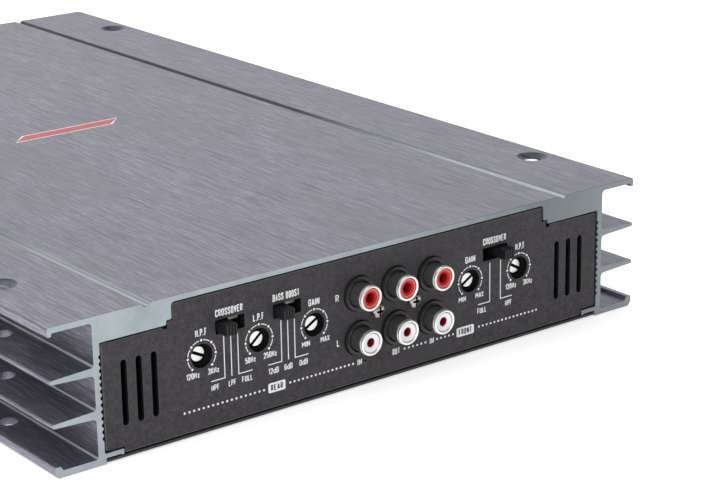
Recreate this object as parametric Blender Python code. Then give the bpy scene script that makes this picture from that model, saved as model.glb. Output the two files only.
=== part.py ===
"""Car amplifier: an aluminium extrusion closed by two end panels and a bottom plate.

Frame: +X across the amplifier, +Y from the signal end to the power end, +Z up.
The origin is the bottom centre of the whole object. Dimensions are in millimetres
and MM turns them into metres.
"""
import math

import bmesh
import bpy
from mathutils import Matrix, Vector

MM = 0.001
GAP = 0.3                      # clearance wherever two pieces meet

# ---- Extrusion -------------------------------------------------------------------
LENGTH = 345.0
HALF_LENGTH = LENGTH / 2.0
HALF_WIDTH = 109.0
HEIGHT = 43.8
TOP_UNDERSIDE = 42.1           # underside of the thin middle of the top plate
BLOCK_INNER_X = 69.6           # where the thick side block starts
BLOCK_STEP_X = 71.4
BLOCK_STEP_Z = 37.2
BLOCK_UNDERSIDE = 35.8
WALL_INNER_X = 93.1
WALL_OUTER_X = 95.25
FLANGE_UNDERSIDE = 42.0
FLANGE_LIP_Z = 41.0
GROOVE_X = 77.7                # groove along the top, over each thick block
GROOVE_HALF_WIDTH = 1.5
GROOVE_DEPTH = 1.1
FIN_LEVELS = (28.0, 15.3)
FIN_ROOT_HALF = 1.25
FIN_TIP_HALF = 0.65
FIN_FILLET = 1.2               # under a fin
FIN_TOP_FILLET = 0.5
TEETH = 13                     # clamping teeth on the inner face of each wall
TOOTH_PITCH = 2.0
TOOTH_DEPTH = 0.5
TEETH_TOP = 32.4
FOOT_TOP = 2.15
FOOT_RIM_TOP = 3.4
FOOT_INNER_X = 92.7
LEDGE_INNER_X = 86.9           # ledge that carries the board and holds the bottom plate
LEDGE_TOP = 3.2
LEDGE_UNDERSIDE = 1.8

# ---- Mounting holes --------------------------------------------------------------
MOUNT_X = 101.0
MOUNT_FROM_END = 40.0
MOUNT_RADIUS = 2.9
COUNTERSINK_RADIUS = 5.2
COUNTERSINK_DEPTH = 1.2

# ---- Sheets ----------------------------------------------------------------------
SHEET = 1.2
PANEL_RECESS = 0.3             # the panels sit this far inside the cut ends
BOTTOM_SHEET = 0.9
BOARD = 1.6
BOARD_BOTTOM = LEDGE_TOP + GAP
BOARD_TOP = BOARD_BOTTOM + BOARD

# ---- Signal end ------------------------------------------------------------------
FRONT_FACE = -HALF_LENGTH + PANEL_RECESS
FRONT_BACK = FRONT_FACE + SHEET
REACH = 6.0                    # how far jacks, terminals and fuses stand out of the ends
JACK_X = (-3.9, 10.1, 24.1)
JACK_Z = (15.7, 29.7)
JACK_SHELL_RADIUS = 3.95
JACK_MOUTH_RADIUS = 3.1
JACK_PIN_RADIUS = 1.75
JACK_DEPTH = 10.0
BOSS_RADIUS = 5.3
BOSS_PROUD = 0.8
SCREW_X = (3.1, 17.1)
SCREW_Z = 22.7
SCREW_HEAD_RADIUS = 2.25
SCREW_SHANK_RADIUS = 1.3
KNOB_Z = 23.8
KNOB_HOLE_RADIUS = 3.65
ROTOR_RADIUS = 2.5
ROTOR_STEM_RADIUS = 1.2
# name: across, angle of the screwdriver slot in degrees from +X towards +Z, depth of its face
KNOBS = {
    "rear_highpass": (-60.0, -27.0, 2.1),
    "rear_lowpass": (-40.2, 40.0, 1.5),
    "rear_gain": (-20.4, 30.0, 1.5),
    "front_gain": (39.6, 31.0, 1.5),
    "front_highpass": (59.6, -30.0, 2.1),
}
SWITCH_Z = 31.0
WINDOW_WIDTH = 10.0
WINDOW_HEIGHT = 4.2
LEVER_WIDTH = 4.0
LEVER_HEIGHT = 3.2
LEVER_REACH = 4.6
LEVER_RIBS = 4
# name: across, where the lever rests from the middle of its window
SWITCHES = {
    "rear_crossover": (-50.0, -2.4),
    "bass_boost": (-30.0, -2.4),
    "front_crossover": (49.8, 2.2),
}
VENT_X = (75.8, 80.75, 85.7)
VENT_LOW = 9.6
VENT_HIGH = 29.1
VENT_HALF_WIDTH = 1.0

# ---- Power end -------------------------------------------------------------------
REAR_FACE = HALF_LENGTH - PANEL_RECESS
REAR_BACK = REAR_FACE - SHEET
TERMINAL_DEPTH = 18.0
SPEAKER_X = 34.0
SPEAKER_WAYS = 8
SPEAKER_PITCH = 8.6
SPEAKER_HOLE = 5.8
POWER_X = -52.0
POWER_WAYS = 3
POWER_PITCH = 12.4
POWER_HOLE = 8.4
TERMINAL_LOW = BOARD_TOP + GAP
TERMINAL_HIGH = 31.0
WIRE_Z = 12.6
CLAMP_Z = 23.6
FUSE_X = -17.0
FUSE_COUNT = 3
FUSE_PITCH = 8.4
FUSE_Z = 18.4
FUSE_WIDTH = 5.2
FUSE_DEPTH = 14.0
FUSE_TALL = 19.2
BLADE_THICKNESS = 0.8
BLADE_LENGTH = 6.6
BLADE_TALL = 5.2
BLADE_SPREAD = 7.0             # from the middle of a fuse to the middle of a blade
LENS_X = FUSE_X
LENS_Z = 36.4
LENS_RADIUS = 1.5

ROUND = 24                     # sides of the larger round pieces
SMALL_ROUND = 16


# ---- Modelling helpers -----------------------------------------------------------
def clear_scene():
    for item in list(bpy.data.objects):
        bpy.data.objects.remove(item, do_unlink=True)


def paint(name, colour, roughness, metallic=0.0):
    material = bpy.data.materials.new(name)
    material.use_nodes = True
    shader = material.node_tree.nodes["Principled BSDF"]
    shader.inputs["Base Color"].default_value = (*colour, 1.0)
    shader.inputs["Roughness"].default_value = roughness
    shader.inputs["Metallic"].default_value = metallic
    return material


def place(name, mesh_data, material, at=(0.0, 0.0, 0.0), smooth=None):
    """Turn a bmesh into a scene object at a position given in millimetres."""
    bmesh.ops.recalc_face_normals(mesh_data, faces=mesh_data.faces)
    mesh = bpy.data.meshes.new(name)
    mesh_data.to_mesh(mesh)
    mesh_data.free()
    if smooth is not None:
        mesh.shade_smooth()
        mesh.set_sharp_from_angle(angle=math.radians(smooth))
    mesh.materials.append(material)
    item = bpy.data.objects.new(name, mesh)
    item.location = Vector(at) * MM
    bpy.context.scene.collection.objects.link(item)
    return item


def add_box(shape, low, high):
    """Add a box between two corners, in millimetres."""
    low = Vector(low) * MM
    high = Vector(high) * MM
    size = Matrix.Diagonal((*(high - low), 1.0))
    centre = Matrix.Translation((low + high) / 2.0)
    bmesh.ops.create_cube(shape, size=1.0, matrix=centre @ size)


def box(low, high):
    shape = bmesh.new()
    add_box(shape, low, high)
    return shape


def add_prism(shape, outline, start, end):
    """Extrude an (x, z) outline along Y from start to end, in millimetres."""
    rim = [shape.verts.new((x * MM, start * MM, z * MM)) for x, z in outline]
    face = shape.faces.new(rim)
    grown = bmesh.ops.extrude_face_region(shape, geom=[face])
    moved = [part for part in grown["geom"] if isinstance(part, bmesh.types.BMVert)]
    bmesh.ops.translate(shape, verts=moved, vec=(0.0, (end - start) * MM, 0.0))


def prism(outline, start, end):
    shape = bmesh.new()
    add_prism(shape, outline, start, end)
    return shape


def add_turned(shape, profile, axis, sides, at=(0.0, 0.0, 0.0)):
    """Spin (radius, along) points, in millimetres, round the Y or Z axis through a point."""
    along = Vector((0.0, 1.0, 0.0)) if axis == "Y" else Vector((0.0, 0.0, 1.0))
    across = Vector((1.0, 0.0, 0.0))
    centre = Vector(at) * MM
    points = [centre + (across * radius + along * height) * MM for radius, height in profile]
    verts = [shape.verts.new(point) for point in points]
    edges = [shape.edges.new(pair) for pair in zip(verts, verts[1:])]
    if profile[0][0] > 0.0:
        edges.append(shape.edges.new((verts[-1], verts[0])))
    before = set(shape.verts) - set(verts)
    bmesh.ops.spin(shape, geom=verts + edges, cent=centre, axis=along,
                   angle=math.tau, steps=sides, use_merge=True)
    grown = [vert for vert in shape.verts if vert not in before]
    bmesh.ops.remove_doubles(shape, verts=grown, dist=1e-6)


def turned(profile, axis, sides):
    shape = bmesh.new()
    add_turned(shape, profile, axis, sides)
    return shape


def rod(radius, start, end):
    """Profile of a plain cylinder, for add_turned."""
    return [(0.0, start), (radius, start), (radius, end), (0.0, end)]


def rounded(corners, steps=3):
    """Turn (x, z, radius) corners into an outline whose corners are arcs."""
    outline = []
    count = len(corners)
    for index, (x, z, radius) in enumerate(corners):
        here = Vector((x, z))
        if radius <= 0.0:
            outline.append(tuple(here))
            continue
        back = (Vector(corners[index - 1][:2]) - here).normalized()
        ahead = (Vector(corners[(index + 1) % count][:2]) - here).normalized()
        half = back.angle(ahead) / 2.0
        reach = radius / math.tan(half)
        centre = here + (back + ahead).normalized() * (radius / math.sin(half))
        first = here + back * reach - centre
        sweep = first.angle_signed(here + ahead * reach - centre)
        for step in range(steps + 1):
            turn = Matrix.Rotation(-sweep * step / steps, 2)
            outline.append(tuple(centre + turn @ first))
    return outline


def slot(x, low, high, half_width, steps=5):
    """Outline of an upright slot with round ends."""
    outline = []
    for middle, start in ((high - half_width, 0.0), (low + half_width, math.pi)):
        for step in range(steps + 1):
            angle = start + math.pi * step / steps
            outline.append((x + half_width * math.cos(angle), middle + half_width * math.sin(angle)))
    return outline


def rectangle(x, z, width, height):
    return [(x - width / 2, z - height / 2), (x + width / 2, z - height / 2),
            (x + width / 2, z + height / 2), (x - width / 2, z + height / 2)]


def circle(x, z, radius, sides):
    turn = math.tau / sides
    return [(x + radius * math.cos(turn * side), z + radius * math.sin(turn * side))
            for side in range(sides)]


def boolean(item, cutter_shape, operation="DIFFERENCE"):
    """Cut a shape out of an object, or join it on, with a hidden cutter object."""
    cutter = place(item.name + "_" + operation.lower(), cutter_shape, item.data.materials[0])
    cutter.parent = item.parent
    cutter.location = item.location
    cutter.rotation_euler = item.rotation_euler
    cutter.hide_render = True
    cutter.display_type = "WIRE"
    modifier = item.modifiers.new(operation.title(), "BOOLEAN")
    modifier.operation = operation
    modifier.solver = "EXACT"
    modifier.object = cutter


def mirrored(half):
    """Complete an outline whose first and last points lie on the middle line, by mirroring it."""
    return half + [(-x, z) for x, z in reversed(half[1:-1])]


# ---- Extrusion -------------------------------------------------------------------
def groove_points():
    """Round-bottomed groove, from its inner edge to its outer edge."""
    radius = (GROOVE_HALF_WIDTH ** 2 + GROOVE_DEPTH ** 2) / (2.0 * GROOVE_DEPTH)
    centre_z = HEIGHT - GROOVE_DEPTH + radius
    spread = math.asin(GROOVE_HALF_WIDTH / radius)
    angles = [spread * (step / 3.0) for step in range(-3, 4)]
    return [(GROOVE_X + radius * math.sin(angle), centre_z - radius * math.cos(angle), 0.0)
            for angle in angles]


def fin_corners(level):
    return [(WALL_OUTER_X, level + FIN_ROOT_HALF, FIN_TOP_FILLET),
            (HALF_WIDTH, level + FIN_TIP_HALF, 0.5),
            (HALF_WIDTH, level - FIN_TIP_HALF, 0.5),
            (WALL_OUTER_X, level - FIN_ROOT_HALF, FIN_FILLET)]


def tooth_corners():
    """Teeth from the lowest up: each has a crest on the wall face and a valley behind it."""
    corners = []
    for tooth in reversed(range(TEETH)):
        top = TEETH_TOP - tooth * TOOTH_PITCH
        corners.append((WALL_INNER_X, top - 0.7 * TOOTH_PITCH, 0.0))
        corners.append((WALL_INNER_X + TOOTH_DEPTH, top - 0.5 * TOOTH_PITCH, 0.0))
        corners.append((WALL_INNER_X + TOOTH_DEPTH, top - 0.2 * TOOTH_PITCH, 0.0))
        corners.append((WALL_INNER_X, top, 0.0))
    return corners


def heatsink_outline():
    outer = groove_points() + [
        (HALF_WIDTH, HEIGHT, 0.8), (HALF_WIDTH, FLANGE_LIP_Z, 0.3),
        (HALF_WIDTH - 1.2, FLANGE_LIP_Z, 0.2), (HALF_WIDTH - 1.5, FLANGE_UNDERSIDE, 0.2),
        (WALL_OUTER_X, FLANGE_UNDERSIDE, FIN_FILLET)]
    for level in FIN_LEVELS:
        outer += fin_corners(level)
    foot = [
        (WALL_OUTER_X, FOOT_TOP, FIN_TOP_FILLET), (HALF_WIDTH - 2.6, FOOT_TOP, 0.3),
        (HALF_WIDTH - 1.9, FOOT_RIM_TOP, 0.3), (HALF_WIDTH, FOOT_RIM_TOP, 0.4),
        (HALF_WIDTH, 1.3, 0.0), (HALF_WIDTH - 1.1, 0.0, 0.0), (FOOT_INNER_X, 0.0, 0.3),
        (FOOT_INNER_X, LEDGE_UNDERSIDE, 0.3), (LEDGE_INNER_X + 1.2, LEDGE_UNDERSIDE, 0.0),
        (LEDGE_INNER_X + 0.8, LEDGE_UNDERSIDE - 0.3, 0.0),
        (LEDGE_INNER_X, LEDGE_UNDERSIDE - 0.3, 0.2), (LEDGE_INNER_X, LEDGE_TOP, 0.3),
        (WALL_INNER_X, LEDGE_TOP, 0.4)]
    inner = tooth_corners() + [
        (WALL_INNER_X, BLOCK_UNDERSIDE, 0.4), (BLOCK_STEP_X, BLOCK_UNDERSIDE, 0.5),
        (BLOCK_STEP_X, BLOCK_STEP_Z, 0.3), (BLOCK_INNER_X, BLOCK_STEP_Z, 0.4),
        (BLOCK_INNER_X, TOP_UNDERSIDE, 1.0)]
    middle = [(0.0, TOP_UNDERSIDE, 0.0)]
    return mirrored(rounded([(0.0, HEIGHT, 0.0)] + outer + foot + inner + middle))


def mount_cutter():
    """Through holes with a countersink at the top, one for each corner."""
    shape = bmesh.new()
    rim = HEIGHT - COUNTERSINK_DEPTH
    profile = [(0.0, -2.0), (MOUNT_RADIUS, -2.0), (MOUNT_RADIUS, rim),
               (COUNTERSINK_RADIUS, HEIGHT), (COUNTERSINK_RADIUS, HEIGHT + 2.0), (0.0, HEIGHT + 2.0)]
    for x in (-MOUNT_X, MOUNT_X):
        for y in (-HALF_LENGTH + MOUNT_FROM_END, HALF_LENGTH - MOUNT_FROM_END):
            add_turned(shape, profile, "Z", ROUND, at=(x, y, 0.0))
    return shape


def make_heatsink(material):
    shape = prism(heatsink_outline(), -HALF_LENGTH, HALF_LENGTH)
    item = place("heatsink", shape, material, smooth=30.0)
    boolean(item, mount_cutter())


# ---- Sheets and boards -----------------------------------------------------------
def panel_outline():
    """End panel: fills the extrusion's opening, with a relief notch under each step."""
    edge = 0.4
    top = TOP_UNDERSIDE - edge
    shoulder = BLOCK_UNDERSIDE - edge
    side = WALL_INNER_X - edge
    notch = 0.75
    step_x = BLOCK_STEP_X - edge
    bottom = LEDGE_UNDERSIDE - 0.2
    half = rounded([
        (0.0, top, 0.0), (BLOCK_INNER_X - edge, top, 0.6),
        (BLOCK_INNER_X - edge, BLOCK_STEP_Z - edge, 0.2),
        (step_x, BLOCK_STEP_Z - edge, 0.2), (step_x, shoulder - notch, 0.3),
        (step_x + 2.0 * notch, shoulder - notch, 0.3), (step_x + 2.0 * notch, shoulder, 0.2),
        (side, shoulder, 0.4), (side, LEDGE_TOP + edge, 0.4),
        (LEDGE_INNER_X - edge, LEDGE_TOP + edge, 0.2),
        (LEDGE_INNER_X - edge, bottom, 0.4), (0.0, bottom, 0.0)], steps=2)
    return mirrored(half)


def cut_prisms(outlines, start, end):
    shape = bmesh.new()
    for outline in outlines:
        add_prism(shape, outline, start, end)
    return shape


def vent_outlines():
    return [slot(side * x, VENT_LOW, VENT_HIGH, VENT_HALF_WIDTH) for x in VENT_X for side in (-1, 1)]


def make_front_panel(material):
    item = place("front_panel", prism(panel_outline(), FRONT_FACE, FRONT_BACK), material)
    holes = vent_outlines()
    holes += [circle(x, KNOB_Z, KNOB_HOLE_RADIUS, ROUND) for x, _, _ in KNOBS.values()]
    holes += [rectangle(x, SWITCH_Z, WINDOW_WIDTH, WINDOW_HEIGHT) for x, _ in SWITCHES.values()]
    holes += [circle(x, z, BOSS_RADIUS + GAP, ROUND) for x in JACK_X for z in JACK_Z]
    holes += [circle(x, SCREW_Z, SCREW_SHANK_RADIUS + GAP, SMALL_ROUND) for x in SCREW_X]
    boolean(item, cut_prisms(holes, FRONT_FACE - 1.0, FRONT_BACK + 1.0))


def make_rear_panel(material):
    item = place("rear_panel", prism(panel_outline(), REAR_BACK, REAR_FACE), material)
    middle = (TERMINAL_LOW + TERMINAL_HIGH) / 2.0
    tall = TERMINAL_HIGH - TERMINAL_LOW + 2.0 * GAP
    holes = vent_outlines()
    holes.append(rectangle(SPEAKER_X, middle, SPEAKER_WAYS * SPEAKER_PITCH + 2.0 * GAP, tall))
    holes.append(rectangle(POWER_X, middle, POWER_WAYS * POWER_PITCH + 2.0 * GAP, tall))
    holes.append(rectangle(FUSE_X, middle, FUSE_COUNT * FUSE_PITCH + 2.0 * GAP, tall))
    holes.append(circle(LENS_X, LENS_Z, LENS_RADIUS + GAP, SMALL_ROUND))
    boolean(item, cut_prisms(holes, REAR_BACK - 1.0, REAR_FACE + 1.0))


def make_bottom_plate(material):
    half_width = FOOT_INNER_X - GAP
    low = (-half_width, -HALF_LENGTH + GAP, GAP)
    high = (half_width, HALF_LENGTH - GAP, GAP + BOTTOM_SHEET)
    place("bottom_plate", box(low, high), material)


def make_boards(material):
    main_half_length = HALF_LENGTH - PANEL_RECESS - SHEET - 1.0
    half_width = WALL_INNER_X - GAP
    low = (-half_width, -main_half_length, BOARD_BOTTOM)
    high = (half_width, main_half_length, BOARD_TOP)
    place("main_board", box(low, high), material)
    front = FRONT_BACK + 12.0
    for name, left, right in (("rear_control_board", -70.0, -12.6), ("front_control_board", 33.0, 69.0)):
        shape = box((left, front, BOARD_TOP + GAP), (right, front + BOARD, BLOCK_STEP_Z))
        place(name, shape, material)


# ---- Signal jacks ----------------------------------------------------------------
def make_jack_block(material):
    left = JACK_X[0] - 8.0
    right = JACK_X[-1] + 8.0
    front = FRONT_BACK + GAP
    back = front + JACK_DEPTH + 1.0
    shape = box((left, front, BOARD_TOP + GAP), (right, back, BLOCK_STEP_Z))
    item = place("rca_block", shape, material, smooth=30.0)
    bosses = bmesh.new()
    bores = bmesh.new()
    bore = JACK_SHELL_RADIUS + GAP
    for x in JACK_X:
        for z in JACK_Z:
            at = (x, FRONT_FACE - BOSS_PROUD, z)
            add_turned(bosses, rod(BOSS_RADIUS, 0.0, BOSS_PROUD + SHEET + 2.0), "Y", ROUND, at=at)
            add_turned(bores, rod(bore, -1.0, BOSS_PROUD + JACK_DEPTH), "Y", ROUND, at=at)
    for x in SCREW_X:
        hole = rod(SCREW_SHANK_RADIUS + GAP, -1.0, 8.0)
        add_turned(bores, hole, "Y", SMALL_ROUND, at=(x, front, SCREW_Z))
    boolean(item, bosses, "UNION")
    boolean(item, bores)


def make_jacks(shell_material, red, white):
    tip = FRONT_FACE - PANEL_RECESS - REACH
    length = REACH + PANEL_RECESS + JACK_DEPTH - GAP - BOSS_PROUD
    outer = JACK_SHELL_RADIUS
    inner = JACK_MOUTH_RADIUS
    middle = (outer + inner) / 2.0
    shell = [(inner, length), (inner, 0.4), (middle - 0.2, 0.0), (middle + 0.2, 0.0),
             (outer, 0.4), (outer, length)]
    core = inner - GAP
    insulator = [(0.0, length), (core, length), (core, 0.7), (JACK_PIN_RADIUS, 0.7),
                 (JACK_PIN_RADIUS, 9.0), (0.0, 9.0)]
    for row, z, colour in (("left", JACK_Z[0], white), ("right", JACK_Z[1], red)):
        for x, duty in zip(JACK_X, ("rear_input", "output", "front_input")):
            name = f"{duty}_{row}"
            at = (x, tip, z)
            place(name + "_shell", turned(shell, "Y", ROUND), shell_material, at, smooth=40.0)
            place(name + "_insulator", turned(insulator, "Y", SMALL_ROUND), colour, at, smooth=40.0)


def make_jack_screws(material):
    """Pan-head cross-recess screws that hold the jack block to the panel."""
    radius = SCREW_HEAD_RADIUS
    front = -GAP - 1.3
    profile = [(0.0, front), (radius * 0.55, front + 0.08), (radius * 0.88, front + 0.4),
               (radius, front + 0.9), (radius, -GAP), (SCREW_SHANK_RADIUS, -GAP),
               (SCREW_SHANK_RADIUS, SHEET + 6.0), (0.0, SHEET + 6.0)]
    for number, x in enumerate(SCREW_X, start=1):
        at = (x, FRONT_FACE, SCREW_Z)
        item = place(f"jack_screw_{number}", turned(profile, "Y", SMALL_ROUND), material, at, smooth=40.0)
        cross = [(1.3, 0.3), (0.3, 0.3), (0.3, 1.3), (-0.3, 1.3), (-0.3, 0.3), (-1.3, 0.3),
                 (-1.3, -0.3), (-0.3, -0.3), (-0.3, -1.3), (0.3, -1.3), (0.3, -0.3), (1.3, -0.3)]
        boolean(item, prism(cross, front - 1.0, front + 0.7))


# ---- Trimmer controls ------------------------------------------------------------
def make_knobs(body_material, rotor_material):
    """Each control: a square body behind the panel and a slotted rotor in its well."""
    front = FRONT_BACK + GAP
    half = 4.9
    thick = 2.6
    rotor = [(0.0, 0.0), (ROTOR_RADIUS - 0.3, 0.0), (ROTOR_RADIUS, 0.3), (ROTOR_RADIUS, thick),
             (ROTOR_STEM_RADIUS, thick), (ROTOR_STEM_RADIUS, thick + 2.0), (0.0, thick + 2.0)]
    for name, (x, angle, recess) in KNOBS.items():
        at = (x, front, KNOB_Z)
        well = recess + 1.8
        body = box((-half, 0.0, -half), (half, 9.5, 3.5))
        body_item = place(name + "_body", body, body_material, at)
        pocket = bmesh.new()
        add_turned(pocket, rod(ROTOR_RADIUS + GAP, -1.0, well), "Y", ROUND)
        boolean(body_item, pocket)
        stem_hole = bmesh.new()
        add_turned(stem_hole, rod(ROTOR_STEM_RADIUS + GAP, 1.0, well + 2.2), "Y", SMALL_ROUND)
        boolean(body_item, stem_hole)
        axis = (x, FRONT_FACE + recess, KNOB_Z)
        rotor_item = place(name + "_rotor", turned(rotor, "Y", ROUND), rotor_material, axis, smooth=40.0)
        rotor_item.rotation_euler = (0.0, -math.radians(angle), 0.0)
        groove = box((-ROTOR_RADIUS - 1.0, -1.0, -0.45), (ROTOR_RADIUS + 1.0, 0.9, 0.45))
        boolean(rotor_item, groove)


# ---- Slide switches --------------------------------------------------------------
def make_switches(body_material, lever_material):
    """Each switch: a housing with an open slide way, and a ribbed lever that runs in X."""
    front = FRONT_BACK + GAP
    depth = 5.0
    for name, (x, rest) in SWITCHES.items():
        housing = box((-7.5, 0.0, -3.2), (7.5, depth + 2.0, 3.2))
        item = place(name + "_housing", housing, body_material, (x, front, SWITCH_Z))
        way = rectangle(0.0, 0.0, WINDOW_WIDTH, WINDOW_HEIGHT)
        boolean(item, prism(way, -1.0, depth))
        back = front + depth - GAP - FRONT_FACE
        low = (-LEVER_WIDTH / 2.0, -LEVER_REACH, -LEVER_HEIGHT / 2.0)
        high = (LEVER_WIDTH / 2.0, back, LEVER_HEIGHT / 2.0)
        at = (x + rest, FRONT_FACE, SWITCH_Z)
        lever = place(name + "_lever", box(low, high), lever_material, at)
        grooves = bmesh.new()
        pitch = LEVER_WIDTH / LEVER_RIBS
        for index in range(1, LEVER_RIBS):
            middle = -LEVER_WIDTH / 2.0 + index * pitch
            add_box(grooves, (middle - 0.2, -LEVER_REACH - 1.0, -LEVER_HEIGHT),
                    (middle + 0.2, -LEVER_REACH + 0.5, LEVER_HEIGHT))
        boolean(lever, grooves)


# ---- Power end -------------------------------------------------------------------
def way_positions(count, pitch):
    return [(index - (count - 1) / 2.0) * pitch for index in range(count)]


def make_terminal_block(name, x, ways, pitch, hole, material):
    """Block with a square wire entry and a round screw well for each way."""
    half = ways * pitch / 2.0
    face = HALF_LENGTH + REACH
    low = (-half, -TERMINAL_DEPTH, TERMINAL_LOW)
    item = place(name, box(low, (half, 0.0, TERMINAL_HIGH)), material, (x, face, 0.0), smooth=30.0)
    cutters = bmesh.new()
    for across in way_positions(ways, pitch):
        add_prism(cutters, rectangle(across, WIRE_Z, hole, hole), -TERMINAL_DEPTH + 3.0, 1.0)
        well = rod(hole * 0.42, -5.0, 1.0)
        add_turned(cutters, well, "Y", SMALL_ROUND, at=(across, 0.0, CLAMP_Z))
    boolean(item, cutters)


def make_power_screws(material):
    radius = POWER_HOLE * 0.42 - GAP
    for number, across in enumerate(way_positions(POWER_WAYS, POWER_PITCH), start=1):
        at = (POWER_X + across, HALF_LENGTH + REACH - 5.0 + GAP, CLAMP_Z)
        profile = [(0.0, 0.0), (radius, 0.0), (radius, 1.6), (radius - 0.4, 2.0), (0.0, 2.0)]
        item = place(f"power_screw_{number}", turned(profile, "Y", SMALL_ROUND), material, at, smooth=40.0)
        boolean(item, box((-radius - 1.0, 1.2, -0.5), (radius + 1.0, 3.0, 0.5)))


def add_blades(shape, grow, base, tip, across=0.0, level=0.0):
    """Two contact blades, one above the other, along Y from base down to tip."""
    half_thick = BLADE_THICKNESS / 2.0 + grow
    half_tall = BLADE_TALL / 2.0 + grow
    for middle in (level - BLADE_SPREAD, level + BLADE_SPREAD):
        add_box(shape, (across - half_thick, tip, middle - half_tall),
                (across + half_thick, base, middle + half_tall))


def make_fuses(holder_material, fuse_material):
    """Holder with a pocket for each fuse, and blade fuses that pull straight out along Y."""
    face = HALF_LENGTH + 1.0
    end = HALF_LENGTH + REACH
    pocket_floor = end - FUSE_DEPTH - GAP
    half = FUSE_COUNT * FUSE_PITCH / 2.0
    back = pocket_floor - BLADE_LENGTH - 2.0
    holder = place("fuse_holder", box((-half, back, TERMINAL_LOW), (half, face, TERMINAL_HIGH)),
                   holder_material, (FUSE_X, 0.0, 0.0))
    pockets = bmesh.new()
    slots = bmesh.new()
    for across in way_positions(FUSE_COUNT, FUSE_PITCH):
        wide = rectangle(across, FUSE_Z, FUSE_WIDTH + 2.0 * GAP, FUSE_TALL + 2.0 * GAP)
        add_prism(pockets, wide, pocket_floor, face + 1.0)
        add_blades(slots, GAP, pocket_floor + 1.0, pocket_floor - BLADE_LENGTH - GAP, across, FUSE_Z)
    boolean(holder, pockets)
    boolean(holder, slots)
    for number, across in enumerate(way_positions(FUSE_COUNT, FUSE_PITCH), start=1):
        low = (-FUSE_WIDTH / 2.0, -FUSE_DEPTH, -FUSE_TALL / 2.0)
        high = (FUSE_WIDTH / 2.0, 0.0, FUSE_TALL / 2.0)
        at = (FUSE_X + across, end, FUSE_Z)
        item = place(f"fuse_{number}", box(low, high), fuse_material, at)
        blades = bmesh.new()
        add_blades(blades, 0.0, -FUSE_DEPTH + 1.0, -FUSE_DEPTH - BLADE_LENGTH)
        boolean(item, blades, "UNION")


def make_lens(material):
    radius = LENS_RADIUS
    dome = [(0.0, -3.0), (radius, -3.0), (radius, 0.2)]
    dome += [(radius * math.cos(angle), 0.2 + radius * math.sin(angle))
             for angle in (math.radians(30.0), math.radians(60.0))]
    dome.append((0.0, 0.2 + radius))
    place("status_lens", turned(dome, "Y", SMALL_ROUND), material, (LENS_X, REAR_FACE, LENS_Z), smooth=40.0)


# ---- Inside ----------------------------------------------------------------------
def make_transformer(material):
    """Wound toroid lying flat on the board."""
    height = 24.0
    inner = 9.0
    outer = 27.0
    soft = 5.0
    corners = [(inner, 0.0, soft), (outer, 0.0, soft), (outer, height, soft), (inner, height, soft)]
    shape = turned(rounded(corners, steps=2), "Z", ROUND)
    place("toroid_transformer", shape, material, (-18.0, 60.0, BOARD_TOP + GAP), smooth=40.0)


def make_capacitors(material):
    radius = 9.0
    height = 30.0
    profile = [(0.0, 0.0), (radius - 0.5, 0.0), (radius, 0.6), (radius, 2.6), (radius - 0.8, 3.4),
               (radius, 4.2), (radius, height - 0.8), (radius - 0.8, height), (0.0, height)]
    for number in range(4):
        at = (26.0 + 20.0 * (number % 2), 50.0 + 20.0 * (number // 2), BOARD_TOP + GAP)
        place(f"capacitor_{number + 1}", turned(profile, "Z", SMALL_ROUND), material, at, smooth=40.0)


def make_output_stage(case_material, bar_material):
    """Power transistors stand against the toothed walls, each pair under a clamp bar."""
    wall = WALL_INNER_X - GAP
    thick = 4.4
    for side, label in ((-1.0, "left"), (1.0, "right")):
        for number, y in enumerate((-40.0, 40.0), start=1):
            tab = box((0.0, -5.0, 0.0), (1.3, 5.0, 16.0))
            item = place(f"{label}_transistor_{number}", tab, case_material,
                         (wall - 1.3 if side > 0 else -wall, y, 13.0))
            depth = (-(thick - 1.3), 0.2) if side > 0 else (1.1, thick)
            boolean(item, box((depth[0], -5.0, 0.0), (depth[1], 5.0, 9.5)), "UNION")
        inner = wall - thick - GAP - 2.0
        low = (min(side * inner, side * (inner + 2.0)), -60.0, 14.0)
        high = (max(side * inner, side * (inner + 2.0)), 60.0, 21.0)
        place(f"{label}_clamp_bar", box(low, high), bar_material)


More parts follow.
